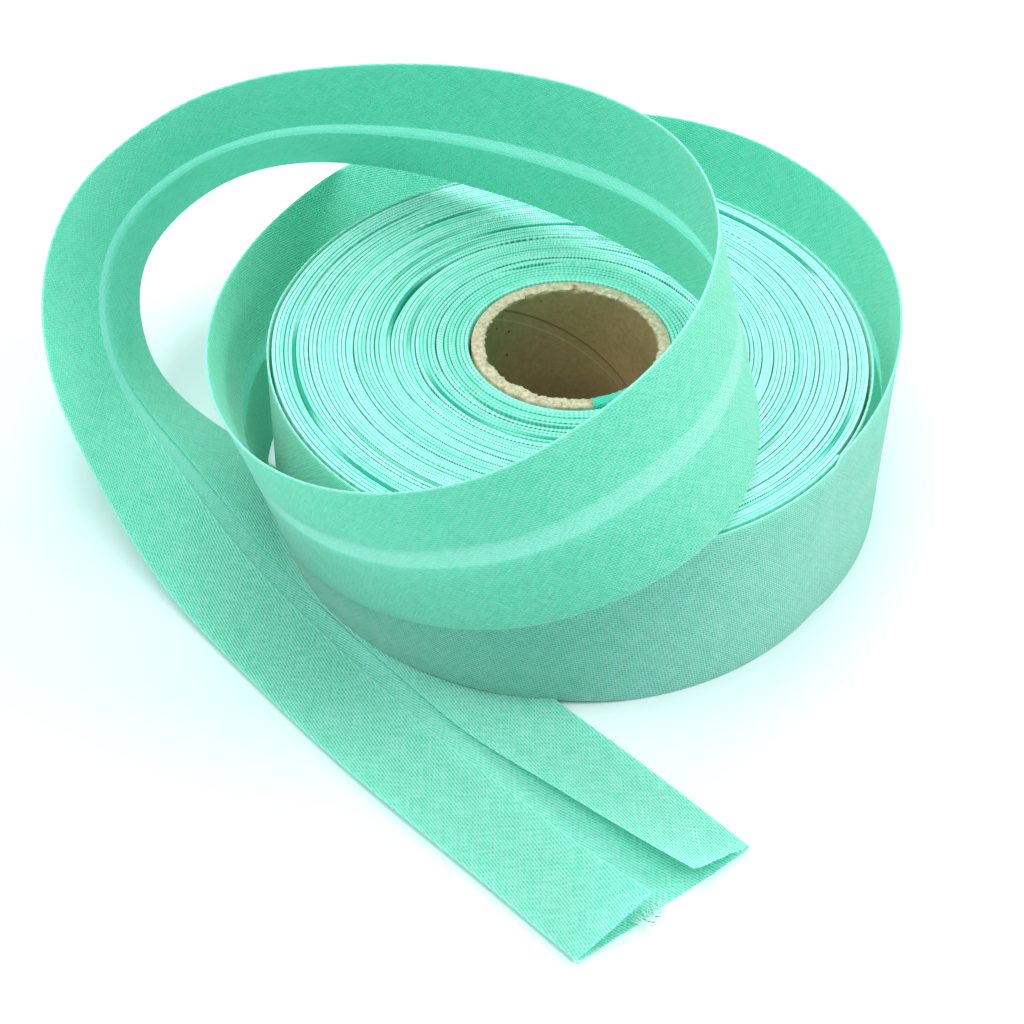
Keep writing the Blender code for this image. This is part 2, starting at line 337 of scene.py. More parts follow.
def card_material():
    """Grey-brown kraft card: pale torn fibre at the rim, a wound seam and flecks inside."""
    made, tree, shader = new_material("kraft_card", roughness=0.88, specular=0.2)
    place = add_node(tree, "ShaderNodeTexCoord").outputs["Object"]
    wall = add_node(tree, "ShaderNodeUVMap", uv_map="wall")
    parts = add_node(tree, "ShaderNodeSeparateXYZ", {"Vector": wall.outputs["UV"]})
    depth = add_node(tree, "ShaderNodeAttribute", attribute_name="torn").outputs["Fac"]

    pulp = add_node(
        tree, "ShaderNodeTexNoise", {"Vector": place, "Scale": 900.0, "Detail": 6.0, "Roughness": 0.7},
    ).outputs["Fac"]
    stain = add_node(
        tree, "ShaderNodeTexNoise", {"Vector": place, "Scale": 60.0, "Detail": 3.0},
    ).outputs["Fac"]
    inside = blend_colours(
        tree, spread(tree, stain, 0.3, 0.7), (0.31, 0.24, 0.09, 1.0), (0.45, 0.31, 0.15, 1.0),
    )
    inside = blend_colours(tree, spread(tree, pulp, 0.35, 0.7, 0.0, 0.35), inside, (0.62, 0.48, 0.28, 1.0))

    # The paper strip is wound on a slant; its lap shows as one dark and one pale line.
    slant = math_node(tree, "MULTIPLY_ADD", parts.outputs["X"], -0.69, parts.outputs["Y"])
    for line, width, colour, share in (
        (9.7, 0.16, (0.15, 0.11, 0.03, 1.0), 0.7),
        (7.2, 0.12, (0.56, 0.48, 0.30, 1.0), 0.5),
    ):
        away = math_node(tree, "ABSOLUTE", math_node(tree, "SUBTRACT", slant, line * MM))
        seam = spread(tree, away, width * MM, width * 2.5 * MM, share, 0.0)
        inside = blend_colours(tree, seam, inside, colour)

    flecks = add_node(tree, "ShaderNodeTexVoronoi", {"Vector": place, "Scale": 330.0}).outputs["Distance"]
    few = add_node(tree, "ShaderNodeTexNoise", {"Vector": place, "Scale": 240.0}).outputs["Fac"]
    fleck = math_node(
        tree, "MULTIPLY", spread(tree, flecks, 0.10, 0.22, 1.0, 0.0), spread(tree, few, 0.58, 0.62),
    )
    inside = blend_colours(tree, fleck, inside, (0.05, 0.035, 0.015, 1.0))

    rim = blend_colours(
        tree, spread(tree, pulp, 0.3, 0.75), (0.33, 0.26, 0.16, 1.0), (0.88, 0.77, 0.57, 1.0),
    )
    tree.links.new(blend_colours(tree, depth, inside, rim), shader.inputs["Base Color"])
    bumped = add_node(tree, "ShaderNodeBump", {"Height": pulp, "Strength": 0.4, "Distance": 0.2 * MM})
    tree.links.new(bumped.outputs["Normal"], shader.inputs["Normal"])
    return made


def yarn_material():
    """A loose yarn, paler than the cloth."""
    made, tree, shader = new_material("loose_yarn", roughness=0.8, specular=0.2, sheen=0.2)
    place = add_node(tree, "ShaderNodeTexCoord").outputs["Object"]
    fibre = add_node(tree, "ShaderNodeTexNoise", {"Vector": place, "Scale": 4000.0}).outputs["Fac"]
    colour = blend_colours(
        tree, spread(tree, fibre, 0.3, 0.7), (0.55, 1.0, 0.90, 1.0), (0.85, 1.0, 0.97, 1.0),
    )
    tree.links.new(colour, shader.inputs["Base Color"])
    return made


def floor_material():
    made, _, shader = new_material("studio_floor", roughness=0.9, specular=0.0)
    shader.inputs["Base Color"].default_value = (0.71, 0.82, 0.83, 1.0)
    return made


# ================ mesh helpers ================
def finished_piece(name, mesh, finish, replaced):
    """Give a mesh its object and material, and hang it on the one body."""
    piece = bpy.data.objects.new(name, mesh)
    bpy.context.scene.collection.objects.link(piece)
    if not mesh.materials:
        mesh.materials.append(finish)
    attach(piece, "root")
    if replaced:
        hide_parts(replaced)
    return piece


def grid_mesh(name, rows, uv_name, uvs, closed=False):
    """A mesh through rows of points (mm from the roll's axis); uvs has a (u, v) in mm for each."""
    bm = bmesh.new()
    layer = bm.loops.layers.uv.new(uv_name)
    verts = [[bm.verts.new(AXIS + Vector(p) * MM) for p in row] for row in rows]
    last = len(rows) - (0 if closed else 1)
    for i in range(last):
        j = (i + 1) % len(rows)
        for k in range(len(rows[i]) - 1):
            corners = ((i, k), (i, k + 1), (j, k + 1), (j, k))
            face = bm.faces.new([verts[a][b] for a, b in corners])
            face.smooth = True
            for loop, (a, b) in zip(face.loops, corners):
                u, v = uvs[a][b]
                if closed and j == 0 and a == 0:
                    u += uvs[-1][b][0] + (uvs[1][b][0] - uvs[0][b][0])
                loop[layer].uv = (u * MM, v * MM)
    mesh = bpy.data.meshes.new(name)
    bm.to_mesh(mesh)
    bm.free()
    return mesh


def wander(*place, size=1.0):
    """Smooth noise between about -1 and 1 at a place, in steps of size."""
    return noise.noise(Vector(place) / size)


# ================ the loose tape ================
def pulled_curve(rows, steps):
    """Points on the uniform cubic B-spline that the rows pull, starting and ending on a row."""
    rows = [Vector(row) for row in rows]
    rows = [2 * rows[0] - rows[1], *rows, 2 * rows[-1] - rows[-2]]
    points = []
    for a, b, c, d in zip(rows, rows[1:], rows[2:], rows[3:]):
        for k in range(steps):
            t = k / steps
            weights = (
                (1 - t) ** 3, 3 * t ** 3 - 6 * t ** 2 + 4,
                -3 * t ** 3 + 3 * t ** 2 + 3 * t + 1, t ** 3,
            )
            points.append((weights[0] * a + weights[1] * b + weights[2] * c + weights[3] * d) / 6)
    points.append((rows[-3] + 4 * rows[-2] + rows[-1]) / 6)
    return points


def over_tail(x, y):
    """0 clear of the flat tail, 1 over it."""
    outwards = (sin(radians(TAIL_HEADING)), -cos(radians(TAIL_HEADING)))
    reach = x * outwards[0] + y * outwards[1]
    step = min(1.0, max(0.0, (reach - TAIL_REACH) / TAIL_RAMP + 1.0))
    return step * step * (3 - 2 * step)


def tape_stations():
    """The last turn on the roll, then the loose route: (x, y, foot, lean, seam) at each station."""
    loose = pulled_curve(ROUTE, STATIONS_PER_ROW)
    start = next(k for k, s in enumerate(loose) if atan2(s[1], s[0]) > radians(TAPE_LEAVES_AT))
    loose = loose[start:]
    leaves_at = atan2(loose[0][1], loose[0][0])
    radius = hypot(loose[0][0], loose[0][1])
    count = round(360.0 / ROLL_STATION)
    wound = []
    for k in range(count):
        to_go = 1.0 - k / count
        angle = leaves_at - 2 * pi * to_go
        r = radius - FIRST_TURN_GROWS * to_go
        x, y = r * cos(angle), r * sin(angle)
        wound.append(Vector((x, y, TAIL_HEIGHT * over_tail(x, y), 0.0, 0.0)))
    return wound, loose


def tape_frames():
    """For each station: middle, heading, across the width, towards the folded side, seam, looseness."""
    wound, loose = tape_stations()
    stations = wound + loose
    middles = [Vector((s[0], s[1], s[2] + TAPE_WIDTH / 2 * cos(radians(s[3])))) for s in stations]
    frames = []
    last = len(stations) - 1
    for k, (_, _, _, lean, seam) in enumerate(stations):
        heading = (middles[min(k + 1, last)] - middles[max(k - 1, 0)]).normalized()
        outwards = heading.cross(Vector((0, 0, 1))).normalized()
        upwards = outwards.cross(heading)
        across = cos(radians(lean)) * upwards + sin(radians(lean)) * outwards
        folded_side = across.cross(heading)
        free = min(1.0, max(0.0, (k - len(wound)) / 12))
        frames.append((middles[k], heading, across, folded_side, seam, free))
    return frames


def opening(to_end, length):
    """0 where a flap still lies flat, growing to 1 at the cut end."""
    return max(0.0, 1.0 - to_end / length) ** 1.5


def flap_points(side, raw_at, lift):
    """A folded-in edge from its fold to its raw edge: (across, towards the folded side, on the cloth)."""
    half = TAPE_WIDTH / 2
    fold = PRESSED / 2
    reach = half - fold - side * raw_at
    tilt = asin(min(0.6, lift / reach))
    points = []
    for part in [k / FLAP_STEPS for k in range(FLAP_STEPS)] + [1.0 - RAW_ROLL / reach, 1.0]:
        u = reach * part
        bow = sin(pi * part) * (0.12 + 0.05 * lift) + RAW_EDGE_LIFT[side] * part ** 4
        a = half - fold - u * cos(tilt)
        points.append((side * a, PRESSED + u * sin(tilt) + bow, side * (half + fold * (pi - 1) + u)))
    return points


def fold_points(side):
    """The rolled fold from the outer face round to the folded-in edge."""
    half = TAPE_WIDTH / 2
    fold = PRESSED / 2
    points = []
    for k in range(1, FOLD_STEPS):
        turn = pi * k / FOLD_STEPS
        across = side * (half - fold + fold * sin(turn))
        points.append((across, fold * (1 - cos(turn)), side * (half - fold + fold * turn)))
    return points


def tape_section(seam, upper_lift, lower_lift, lower_narrows):
    """The folded tape from one raw edge to the other: (across, towards the folded side, on the cloth)."""
    flat = TAPE_WIDTH / 2 - PRESSED / 2
    lower = flap_points(-1, seam - OPEN_MIDDLE / 2 - lower_narrows, lower_lift)
    upper = flap_points(1, seam + OPEN_MIDDLE / 2, upper_lift)
    base = [-flat + 2 * flat * k / BASE_STEPS for k in range(BASE_STEPS + 1)]
    return (
        lower[::-1] + fold_points(-1)[::-1] + [(a, 0.0, a) for a in base] + fold_points(1) + upper
    )


def loose_tape():
    frames = tape_frames()
    along = [0.0]
    for one, other in zip(frames, frames[1:]):
        along.append(along[-1] + (other[0] - one[0]).length)
    rows, uvs, seam_gaps = [], [], []
    for (middle, heading, across, folded_side, seam, free), s in zip(frames, along):
        left = along[-1] - s
        lower = opening(left, LOWER_FLAP_OPENS)
        seam += 0.25 * wander(s, 3.0, 0.0, size=23.0)
        section = tape_section(
            seam,
            UPPER_FLAP_LIFT * opening(left, UPPER_FLAP_OPENS),
            LOWER_FLAP_LIFT * lower,
            LOWER_FLAP_NARROWS * lower,
        )
        skew = CUT_SKEW * max(0.0, 1.0 - left / CUT_BLEND) / (TAPE_WIDTH / 2)
        lies_flat = max(0.0, folded_side.z) ** 4
        row = []
        for a, f, v in section:
            ripple = 0.16 * free * wander(s, a, 7.0, size=16.0)
            ripple += FOLD_CURL * lies_flat * max(0.0, abs(a) / (TAPE_WIDTH / 2) - 0.5) ** 2 / 0.25
            frayed = 0.35 * wander(v, 5.0, 0.0, size=0.8) if left == 0.0 else 0.0
            point = middle + a * across + (f + ripple) * folded_side + (frayed - skew * a) * heading
            point.z = max(point.z, 0.08)
            row.append(point)
        rows.append(row)
        uvs.append([(s, v) for _, _, v in section])
        gaps = [a - seam if f == 0.0 else TAPE_WIDTH for a, f, _ in section]
        # How far each station stands clear; the cloth paints its shade and backlight from this.
        seam_gaps.append((gaps, free * (1.0 - 0.7 * lies_flat)))
    mesh = grid_mesh("loose_tape_cloth", rows, "cloth", uvs)
    raw, from_seam, held_up = (
        mesh.attributes.new(name, "FLOAT", "POINT") for name in ("raw", "from_seam", "held_up")
    )
    for k, (gaps, clear) in enumerate(seam_gaps):
        for j, gap in enumerate(gaps):
            from_seam.data[k * len(gaps) + j].value = gap * MM
            held_up.data[k * len(gaps) + j].value = clear
        for end in (0, len(gaps) - 1):
            raw.data[k * len(gaps) + end].value = 1.0
    piece = finished_piece("loose_tape_cloth", mesh, materials["tape"], "loose_tape")
    return rows[-1], [v for _, _, v in section], frames[-1][1]


# ================ trees that grow what repeats ================
def new_geometry_tree(name, inputs):
    """An empty tree with named inputs, its input sockets, and its output node."""
    tree = bpy.data.node_groups.new(name, "GeometryNodeTree")
    for label, kind in inputs:
        tree.interface.new_socket(label, in_out="INPUT", socket_type="NodeSocket" + kind)
    tree.interface.new_socket("Geometry", in_out="OUTPUT", socket_type="NodeSocketGeometry")
    return tree, tree.nodes.new("NodeGroupInput").outputs, tree.nodes.new("NodeGroupOutput")


def grown_mesh(name, tree, settings, source=None):
    """Run a tree on a source mesh and keep the result as a plain mesh."""
    holder = bpy.data.objects.new(name, source or bpy.data.meshes.new(name + "_source"))
    bpy.context.scene.collection.objects.link(holder)
    growth = holder.modifiers.new("growth", "NODES")
    growth.node_group = tree
    for item in tree.interface.items_tree:
        if item.in_out == "INPUT" and item.name in settings:
            growth[item.identifier] = settings[item.name]
    graph = bpy.context.evaluated_depsgraph_get()
    mesh = bpy.data.meshes.new_from_object(holder.evaluated_get(graph))
    mesh.name = name
    bpy.data.objects.remove(holder)
    return mesh


def stored(tree, geometry, name, value):
    """Keep a number on each point, for the material to read."""
    return add_node(
        tree, "GeometryNodeStoreNamedAttribute",
        {"Geometry": geometry, "Name": name, "Value": value}, data_type="FLOAT", domain="POINT",
    ).outputs["Geometry"]


def wound_turns_tree():
    """A tape standing on edge, wound in one long spiral, with uneven turns."""
    tree, given, output = new_geometry_tree("wound turns", (
        ("Turns", "Float"), ("Sides", "Float"), ("Start Radius", "Float"), ("End Radius", "Float"),
        ("End Angle", "Float"), ("Height", "Float"), ("Thickness", "Float"), ("Slack", "Float"),
        ("Rise", "Float"), ("Sink", "Float"), ("Axis", "Vector"),
        ("Tail Outwards", "Vector"), ("Tail Reach", "Float"),
        ("Tail Ramp", "Float"), ("Tail Height", "Float"), ("Finish", "Material"),
    ))
    count = math_node(tree, "MULTIPLY", given["Turns"], given["Sides"])
    line = add_node(tree, "GeometryNodeCurvePrimitiveLine").outputs["Curve"]
    points = add_node(tree, "GeometryNodeResampleCurve", {"Curve": line, "Count": count}).outputs["Curve"]
    part = add_node(tree, "GeometryNodeSplineParameter").outputs["Factor"]
    turn = math_node(tree, "MULTIPLY", part, given["Turns"])
    to_go = math_node(tree, "SUBTRACT", given["Turns"], turn)
    angle = math_node(tree, "MULTIPLY_ADD", to_go, -2 * pi, given["End Angle"])
    east = math_node(tree, "COSINE", angle)
    north = math_node(tree, "SINE", angle)

    def uneven(step, around, detail):
        """Noise, from about -1 to 1, that drifts round a turn and changes from turn to turn."""
        place = add_node(tree, "ShaderNodeCombineXYZ", {
            "X": math_node(tree, "MULTIPLY", east, around),
            "Y": math_node(tree, "MULTIPLY", north, around),
            "Z": math_node(tree, "MULTIPLY", turn, step),
        })
        value = add_node(
            tree, "ShaderNodeTexNoise", {"Vector": place.outputs["Vector"], "Scale": 1.0, "Detail": detail},
        ).outputs["Fac"]
        return math_node(tree, "MULTIPLY_ADD", value, 4.0, -2.0)

    ends = spread(tree, math_node(tree, "MINIMUM", turn, to_go), 0.0, 2.5)
    slack = math_node(tree, "MULTIPLY", uneven(0.55, 0.5, 2.0), ends)
    slack = math_node(tree, "MULTIPLY", slack, given["Slack"])
    shifted = math_node(tree, "DIVIDE", math_node(tree, "ADD", turn, slack), given["Turns"])
    width = math_node(tree, "SUBTRACT", given["End Radius"], given["Start Radius"])
    radius = math_node(tree, "MULTIPLY_ADD", shifted, width, given["Start Radius"])
    x = math_node(tree, "MULTIPLY", east, radius)
    y = math_node(tree, "MULTIPLY", north, radius)

    flat_place = add_node(tree, "ShaderNodeCombineXYZ", {"X": x, "Y": y}).outputs["Vector"]
    outward = add_node(
        tree, "ShaderNodeVectorMath", {0: flat_place, 1: given["Tail Outwards"]}, operation="DOT_PRODUCT",
    ).outputs["Value"]
    past = math_node(tree, "SUBTRACT", outward, given["Tail Reach"])
    past = math_node(tree, "DIVIDE", past, given["Tail Ramp"])
    lift = add_node(
        tree, "ShaderNodeMapRange", {"Value": past, "From Min": -1.0, "From Max": 0.0},
        interpolation_type="SMOOTHSTEP",
    ).outputs["Result"]
    lift = math_node(tree, "MULTIPLY", lift, given["Tail Height"])
    rise = math_node(tree, "MULTIPLY", uneven(1.9, 0.6, 3.0), given["Rise"])
    sunk = spread(tree, uneven(2.3, 0.55, 1.0), 0.62, 0.9)
    sink = math_node(tree, "MULTIPLY", math_node(tree, "MULTIPLY", sunk, ends), given["Sink"])
    rise = math_node(tree, "SUBTRACT", rise, sink)
    z = math_node(tree, "MULTIPLY_ADD", given["Height"], 0.5, math_node(tree, "ADD", rise, lift))
    place = add_node(tree, "ShaderNodeCombineXYZ", {"X": x, "Y": y, "Z": z}).outputs["Vector"]
    spiral = add_node(
        tree, "GeometryNodeSetPosition", {"Geometry": points, "Position": place},
    ).outputs["Geometry"]
    spiral = stored(tree, spiral, "turn", turn)
    # Kept for the material, which paints sunk turns in shade.
    spiral = stored(tree, spiral, "sunk", sunk)
    mean_radius = math_node(tree, "MULTIPLY", math_node(tree, "ADD", radius, given["Start Radius"]), 0.5)
    wound_length = math_node(tree, "MULTIPLY", math_node(tree, "MULTIPLY", turn, 2 * pi), mean_radius)
    spiral = stored(tree, spiral, "along", wound_length)
    spiral = add_node(tree, "GeometryNodeSetCurveNormal", {"Curve": spiral}, mode="Z_UP").outputs["Curve"]

    ring = add_node(
        tree, "GeometryNodeCurvePrimitiveCircle", {"Resolution": PROFILE_CORNERS, "Radius": 1.0},
    ).outputs["Curve"]
    ring = add_node(
        tree, "GeometryNodeTransform", {"Geometry": ring, "Rotation": (0, 0, pi / PROFILE_CORNERS)},
    ).outputs["Geometry"]
    on_ring = add_node(tree, "GeometryNodeInputPosition").outputs[0]
    corner = add_node(tree, "ShaderNodeSeparateXYZ", {"Vector": on_ring})
    ring = stored(tree, ring, "crest", corner.outputs["Y"])
    ring = stored(tree, ring, "side", corner.outputs["X"])
    half_thick = math_node(tree, "MULTIPLY", given["Thickness"], 0.5)
    straight = math_node(tree, "MULTIPLY", half_thick, -1.0)
    straight = math_node(tree, "MULTIPLY_ADD", given["Height"], 0.5, straight)
    tall = math_node(tree, "MULTIPLY", math_node(tree, "SIGN", corner.outputs["Y"]), straight)
    outline = add_node(tree, "ShaderNodeCombineXYZ", {
        "X": math_node(tree, "MULTIPLY", corner.outputs["X"], half_thick),
        "Y": math_node(tree, "MULTIPLY_ADD", corner.outputs["Y"], half_thick, tall),
    })
    ring = add_node(
        tree, "GeometryNodeSetPosition", {"Geometry": ring, "Position": outline.outputs["Vector"]},
    ).outputs["Geometry"]

    tape = add_node(
        tree, "GeometryNodeCurveToMesh", {"Curve": spiral, "Profile Curve": ring, "Fill Caps": True},
    ).outputs["Mesh"]
    where = add_node(tree, "GeometryNodeInputPosition").outputs[0]
    spot = add_node(tree, "ShaderNodeSeparateXYZ", {"Vector": where})
    standing = add_node(tree, "ShaderNodeCombineXYZ", {
        "X": spot.outputs["X"], "Y": spot.outputs["Y"],
        "Z": math_node(tree, "MAXIMUM", spot.outputs["Z"], 0.02 * MM),
    })
    tape = add_node(
        tree, "GeometryNodeSetPosition",
        {"Geometry": tape, "Position": standing.outputs["Vector"], "Offset": given["Axis"]},
    ).outputs["Geometry"]
    tape = add_node(tree, "GeometryNodeSetShadeSmooth", {"Geometry": tape}).outputs["Geometry"]
    tape = add_node(tree, "GeometryNodeRealizeInstances", {"Geometry": tape}).outputs["Geometry"]
    tape = add_node(
        tree, "GeometryNodeSetMaterial", {"Geometry": tape, "Material": given["Finish"]},
    ).outputs["Geometry"]
    tree.links.new(tape, output.inputs["Geometry"])
    return tree


def wound_turns(first_station):
    outer = hypot(first_station[0], first_station[1]) - PRESSED - 0.15
    settings = {
        "Turns": float(TURNS),
        "Sides": float(SIDES_PER_TURN),
        "Start Radius": (CORE_RADIUS + 0.5) * MM,
        "End Radius": outer * MM,
        "End Angle": atan2(first_station[1], first_station[0]),
        "Height": TAPE_WIDTH * MM,
        "Thickness": WOUND_THICK * MM,
        "Slack": GAP_SPREAD,
        "Rise": EDGE_RISE * MM,
        "Sink": EDGE_SINKS * MM,
        "Axis": AXIS,
        "Tail Outwards": (sin(radians(TAIL_HEADING)), -cos(radians(TAIL_HEADING)), 0.0),
        "Tail Reach": TAIL_REACH * MM,
        "Tail Ramp": TAIL_RAMP * MM,
        "Tail Height": TAIL_HEIGHT * MM,
        "Finish": materials["edges"],
    }
    mesh = grown_mesh("wound_turns", wound_turns_tree(), settings)
    return finished_piece("wound_turns", mesh, materials["edges"], "wound_roll")


def fray_tree():
    """Short bent yarns that stick out of a cut edge."""
    tree, given, output = new_geometry_tree("frayed yarns", (
        ("Edge", "Geometry"), ("Yarns", "Int"), ("Longest", "Float"), ("Thickness", "Float"),
        ("Heading", "Float"), ("Fan", "Float"), ("Seed", "Int"), ("Finish", "Material"),
    ))
    edge = add_node(tree, "GeometryNodeMeshToCurve", {"Mesh": given["Edge"]}).outputs["Curve"]
    roots = add_node(
        tree, "GeometryNodeResampleCurve", {"Curve": edge, "Count": given["Yarns"]},
    ).outputs["Curve"]
    nudge = add_node(
        tree, "FunctionNodeRandomValue",
        {0: (-0.3 * MM, -0.3 * MM, 0.0), 1: (0.3 * MM, 0.3 * MM, 0.1 * MM), "Seed": given["Seed"]},
        data_type="FLOAT_VECTOR",
    ).outputs["Value"]
    roots = add_node(
        tree, "GeometryNodeSetPosition", {"Geometry": roots, "Offset": nudge},
    ).outputs["Geometry"]

    yarn = add_node(
        tree, "GeometryNodeCurveQuadraticBezier",
        {"Resolution": 5, "Start": (-0.25, 0, 0), "Middle": (0.45, 0.1, 0.16), "End": (1.0, -0.12, 0.05)},
    ).outputs["Curve"]

    def scatter(low, high, offset):
        seed = add_node(tree, "FunctionNodeIntegerMath", {0: given["Seed"], 1: offset}).outputs[0]
        inputs = {"Min": low, "Max": high, "Seed": seed}
        chance = add_node(tree, "FunctionNodeRandomValue", data_type="FLOAT")
        for name, value in inputs.items():
            socket = next(s for s in chance.inputs if s.name == name and s.enabled)
            if isinstance(value, bpy.types.NodeSocket):
                tree.links.new(value, socket)
            else:
                socket.default_value = value
        return next(s for s in chance.outputs if s.enabled)

    yaw = math_node(tree, "MULTIPLY_ADD", scatter(-1.0, 1.0, 1), given["Fan"], given["Heading"])
    turn = add_node(tree, "ShaderNodeCombineXYZ", {
        "X": scatter(-pi, pi, 2), "Y": scatter(-0.35, 0.15, 3), "Z": yaw,
    }).outputs["Vector"]
    size = math_node(tree, "POWER", scatter(0.25, 1.0, 4), 1.6)
    size = math_node(tree, "MULTIPLY", size, given["Longest"])
    placed = add_node(
        tree, "GeometryNodeInstanceOnPoints",
        {"Points": roots, "Instance": yarn, "Rotation": turn, "Scale": size},
    ).outputs["Instances"]
    strands = add_node(tree, "GeometryNodeRealizeInstances", {"Geometry": placed}).outputs["Geometry"]
    ring = add_node(
        tree, "GeometryNodeCurvePrimitiveCircle", {"Resolution": 4, "Radius": given["Thickness"]},
    ).outputs["Curve"]
    strands = add_node(
        tree, "GeometryNodeCurveToMesh", {"Curve": strands, "Profile Curve": ring, "Fill Caps": True},
    ).outputs["Mesh"]
    where = add_node(tree, "GeometryNodeInputPosition").outputs[0]
    spot = add_node(tree, "ShaderNodeSeparateXYZ", {"Vector": where})
    above = add_node(tree, "ShaderNodeCombineXYZ", {
        "X": spot.outputs["X"], "Y": spot.outputs["Y"],
        "Z": math_node(tree, "MAXIMUM", spot.outputs["Z"], 0.02 * MM),
    })
    strands = add_node(
        tree, "GeometryNodeSetPosition", {"Geometry": strands, "Position": above.outputs["Vector"]},
    ).outputs["Geometry"]
    strands = add_node(
        tree, "GeometryNodeSetMaterial", {"Geometry": strands, "Material": given["Finish"]},
    ).outputs["Geometry"]
    tree.links.new(strands, output.inputs["Geometry"])
    return tree


def edge_line(name, points):
    """A mesh of edges through points in metres."""
    mesh = bpy.data.meshes.new(name)
    mesh.from_pydata([tuple(p) for p in points], [(k, k + 1) for k in range(len(points) - 1)], [])
    return mesh


def frayed_yarns(cut_edge, widths, heading):
    """Yarns along the cut: many on the tape itself, a tuft at the middle, a few at the flaps' corners."""
    tree = fray_tree()
    half = TAPE_WIDTH / 2
    tufts = (
        # from, to: place across the cloth; rooted: how far back from the cut
        # name, from, to, yarns, longest, fan, rooted, seed
        ("cut_yarns", -half + 1.0, half - 1.0, 26, 0.7, 0.9, 0.0, 3),
        ("middle_tuft", -1.5, 7.5, 34, 3.0, 0.7, 0.7, 11),
        ("tip_ravel", half + 0.2, half + 2.0, 5, 1.2, 1.2, 0.0, 5),
        ("upper_flap_yarns", half + 1.0, half + FLAP, 8, 0.4, 0.8, 0.0, 19),
        ("lower_flap_yarns", -half - FLAP, -half - 1.0, 8, 0.4, 0.8, 0.0, 23),
    )
    for name, low, high, yarns, longest, fan, rooted, seed in tufts:
        root = Vector((0.0, 0.0, 0.25 * rooted)) - rooted * heading
        points = [AXIS + (p + root) * MM for p, v in zip(cut_edge, widths) if low <= v <= high]
        settings = {
            "Yarns": yarns,
            "Longest": longest * MM,
            "Thickness": 0.07 * MM,
            "Heading": atan2(heading.y, heading.x),
            "Fan": fan,
            "Seed": seed,
            "Finish": materials["yarn"],
        }
        mesh = grown_mesh(name, tree, settings, edge_line(name + "_edge", points))
        finished_piece(name, mesh, materials["yarn"], None)


# ================ the card tube and the tape's inner end ================
def card_tube():
    """The tube, cut square below and torn round the inside of its rim."""
    inner = CORE_RADIUS - CORE_WALL
    steps = 300
    rows, uvs = [], []
    for k in range(steps):
        angle = 2 * pi * k / steps
        east, north = cos(angle), sin(angle)
        tear = 0.55 * wander(20 * east, 20 * north, 1.0, size=4.0)
        tear += 0.6 * wander(20 * east, 20 * north, 9.0, size=1.5)
        tear += 0.55 * wander(20 * east, 20 * north, 17.0, size=0.5)
        notch = max(0.0, 1.0 - abs(angle - radians(87)) / radians(1.8))
        lip = inner + TORN_DEPTH * tear + 1.3 * notch
        fuzz = [0.16 * wander(20 * east, 20 * north, 31.0 + j, size=0.6) for j in range(3)]
        top = TAPE_WIDTH - 0.15
        section = [
            (CORE_RADIUS, 0.0),
            (CORE_RADIUS, top - 0.3),
            (CORE_RADIUS - 0.15, top),
            (CORE_RADIUS - 0.9, top + fuzz[0]),
            ((lip + CORE_RADIUS) / 2, top + fuzz[1] - 0.6 * notch),
            (lip + 0.25, top + fuzz[2] - 0.8 * notch),
            (lip, top - 0.12 + fuzz[2] - 0.8 * notch),
            (lip + 0.04, top - 0.3 - 0.8 * notch),
            (inner + 0.5 * TORN_DEPTH * tear, top - 0.5 - 0.6 * notch),
            (inner + 0.2 * TORN_DEPTH * tear, top - 0.8),
            (inner, top - 1.2),
            (inner, top - 2.0),
            (inner, top * 0.5),
            (inner, 0.0),
            (CORE_RADIUS, 0.0),
        ]
        rows.append([(r * east, r * north, z) for r, z in section])
        uvs.append([(inner * angle, z) for r, z in section])
    mesh = grid_mesh("card_tube", rows, "wall", uvs, closed=True)
    bm = bmesh.new()
    bm.from_mesh(mesh)
    bmesh.ops.remove_doubles(bm, verts=bm.verts[:], dist=0.001 * MM)
    bmesh.ops.recalc_face_normals(bm, faces=bm.faces[:])
    bm.to_mesh(mesh)
    bm.free()
    torn = mesh.attributes.new("torn", "FLOAT", "POINT")
    for vertex in mesh.vertices:
        place = (vertex.co - AXIS) / MM
        ragged = 0.25 * wander(*place, size=0.9) + 0.35 * wander(*place, size=3.5)
        torn.data[vertex.index].value = min(1.0, max(0.0, (place.z - TAPE_WIDTH + 0.75 + ragged) / 0.25))
    return finished_piece("card_tube", mesh, materials["card"], "core_tube")


def inner_end():
    """The tape's first few millimetres, turned out over the rim of the tube."""
    first, last = radians(-78), radians(-40)
    rows, uvs = [], []
    for k in range(25):
        angle = first + (last - first) * k / 24
        ragged = 0.25 * wander(k, 4.0, 0.0, size=3.0)
        section = [
            (CORE_RADIUS - 2.1 + ragged, 0.28, -2.2), (CORE_RADIUS - 1.2, 0.42, -1.2),
            (CORE_RADIUS - 0.3, 0.40, -0.3), (CORE_RADIUS + 0.12, 0.1, 0.3),
            (CORE_RADIUS + 0.16, -1.0, 1.4), (CORE_RADIUS + 0.16, -8.0, 8.4),
        ]
        rows.append([(r * cos(angle), r * sin(angle), TAPE_WIDTH + z) for r, z, _ in section])
        uvs.append([(CORE_RADIUS * angle, v) for _, _, v in section])
    mesh = grid_mesh("inner_end", rows, "cloth", uvs)
    piece = finished_piece("inner_end", mesh, materials["inner_end"], None)
    return piece


# ================ studio ================
def studio_floor():
    mesh = bpy.data.meshes.new("studio_floor")
    reach = 3.0
    corners = [(-reach, -reach, 0), (reach, -reach, 0), (reach, reach, 0), (-reach, reach, 0)]
    mesh.from_pydata(corners, [], [(0, 1, 2, 3)])
    mesh.materials.append(materials["floor"])
    floor = bpy.data.objects.new("studio_floor", mesh)
    bpy.context.scene.collection.objects.link(floor)


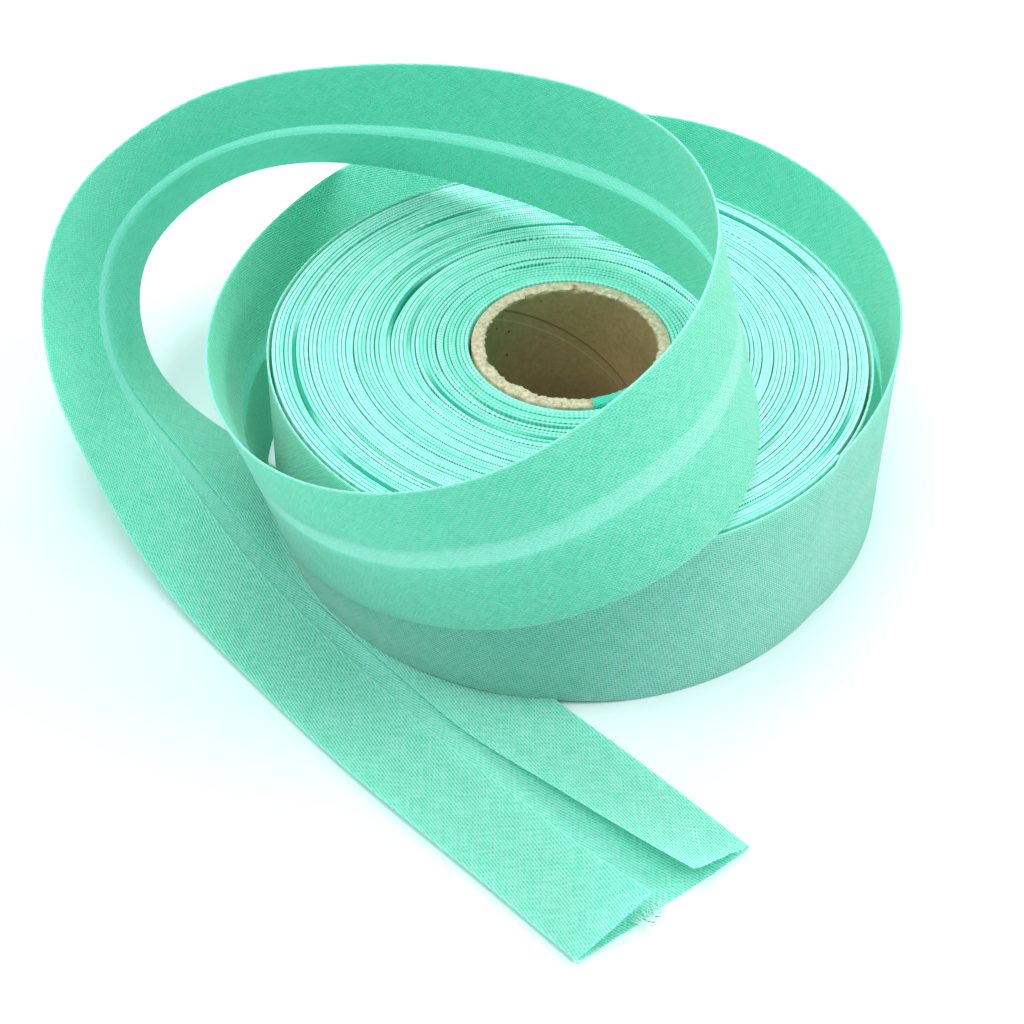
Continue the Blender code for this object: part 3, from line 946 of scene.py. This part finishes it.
def soft_light(name, place, size, power, colour):
    """A square lamp at a place (metres from the roll) that faces the roll."""
    lamp = bpy.data.lights.new(name, "AREA")
    lamp.shape = "SQUARE"
    lamp.size = size
    lamp.energy = power
    lamp.color = colour
    holder = bpy.data.objects.new(name, lamp)
    holder.location = AXIS + Vector(place)
    holder.rotation_euler = (-Vector(place)).to_track_quat("-Z", "Y").to_euler()
    bpy.context.scene.collection.objects.link(holder)


def studio_lights():
    world = bpy.data.worlds.new("studio")
    world.use_nodes = True
    sky = world.node_tree.nodes["Background"]
    sky.inputs["Color"].default_value = (0.88, 0.985, 1.0, 1.0)
    sky.inputs["Strength"].default_value = 0.54
    bpy.context.scene.world = world
    soft_light("ceiling", (-0.35, -0.1, 1.25), 1.4, 17.5, (1.0, 1.0, 1.0))
    soft_light("window", (1.05, 0.05, 0.72), 0.6, 9.6, (1.0, 0.97, 0.95))
    soft_light("back_light", (0.2, 1.0, 0.9), 0.8, 6.0, (1.0, 1.0, 1.0))
    bpy.context.scene.view_settings.view_transform = "Standard"


def camera():
    """Standing in front of the roll and looking down on it by half a right angle."""
    lens = bpy.data.cameras.new("camera")
    lens.lens = 71.3
    lens.sensor_width = 36.0
    lens.clip_start = 0.01
    holder = bpy.data.objects.new("camera", lens)
    looks_down, leans = radians(43.53), radians(1.22)
    aim = Matrix.Rotation(pi / 2 - looks_down, 4, "X") @ Matrix.Rotation(leans, 4, "Z")
    holder.matrix_world = Matrix.Translation(AXIS + Vector((-0.0111, -0.3173, 0.2942))) @ aim
    bpy.context.scene.collection.objects.link(holder)
    bpy.context.scene.camera = holder


# ================ run ================
materials = {
    "tape": cloth_material(
        "tape_cloth", dark=(0.08, 0.73, 0.47, 1.0), light=(0.52, 0.98, 0.91, 1.0),
        through=(0.28, 1.0, 0.82, 1.0), see_through=0.38, bump=1.0,
    ),
    # The inner end takes a darker copy of the tape cloth that lets little light through: painted shade
    # where it hangs over the tube's rim.
    "inner_end": cloth_material(
        "inner_end_shaded_cloth", dark=(0.0, 0.50, 0.31, 1.0), light=(0.06, 0.76, 0.55, 1.0),
        through=(0.28, 1.0, 0.82, 1.0), see_through=0.05, bump=1.0,
    ),
    "edges": wound_edges_material(),
    "yarn": yarn_material(),
    "card": card_material(),
    "floor": floor_material(),
}
camera()
studio_lights()
studio_floor()
card_tube()
wound_turns(tape_stations()[0][0])
inner_end()
cut_edge, widths, heading = loose_tape()
frayed_yarns(cut_edge, widths, heading)
